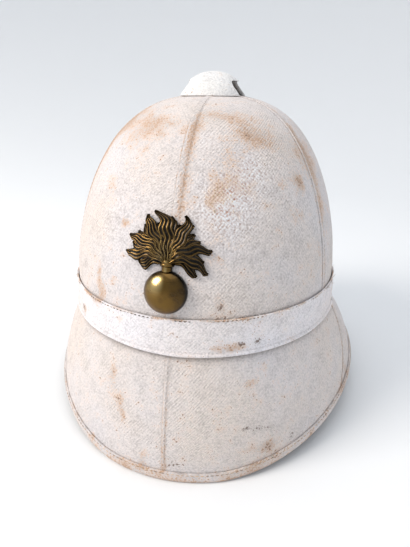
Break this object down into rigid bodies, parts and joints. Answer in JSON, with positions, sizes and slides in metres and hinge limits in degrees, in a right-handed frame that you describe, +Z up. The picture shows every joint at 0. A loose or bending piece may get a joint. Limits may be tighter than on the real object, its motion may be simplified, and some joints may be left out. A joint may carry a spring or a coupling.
{
  "type": "pith helmet",
  "caption": "Cork sun helmet with a tall canvas-covered crown, flared bound brim, cloth band, domed ventilator and a brass flaming-grenade badge.",
  "frame": {"origin": "middle of the rim's outline, on the surface that the helmet stands on", "axes": "+Z up, -Y towards the front of the helmet, +X to the viewer's right from the front"},
  "size_m": [0.2434, 0.3108, 0.2298],
  "materials": {
    "cork": "bare sheet cork, matt, with dark grain flecks",
    "crown_canvas": "whitened cotton canvas, chalky, worn to tan",
    "brim_canvas": "whitened cotton canvas, chalky, stained",
    "band_cloth": "folded whitened cotton, stitched along its top edge",
    "binding_cloth": "cotton tape, stitched, worn to tan",
    "cap_canvas": "whitened canvas over a hard dome, thickly chalked",
    "badge_brass": "cast brass, aged dark with rubbed ridges"
  },
  "bodies": {
    "root": {"crown_shell": "cork", "brim_shell": "cork", "crown_cover_front_right": "crown_canvas", "crown_cover_side_right": "crown_canvas", "crown_cover_back_right": "crown_canvas", "crown_cover_back_left": "crown_canvas", "crown_cover_side_left": "crown_canvas", "crown_cover_front_left": "crown_canvas", "peak_cover_right": "brim_canvas", "guard_cover": "brim_canvas", "peak_cover_left": "brim_canvas", "band": "band_cloth", "rim_binding": "binding_cloth", "ventilator_cap": "cap_canvas", "badge": "badge_brass"}
  },
  "joints": []
}
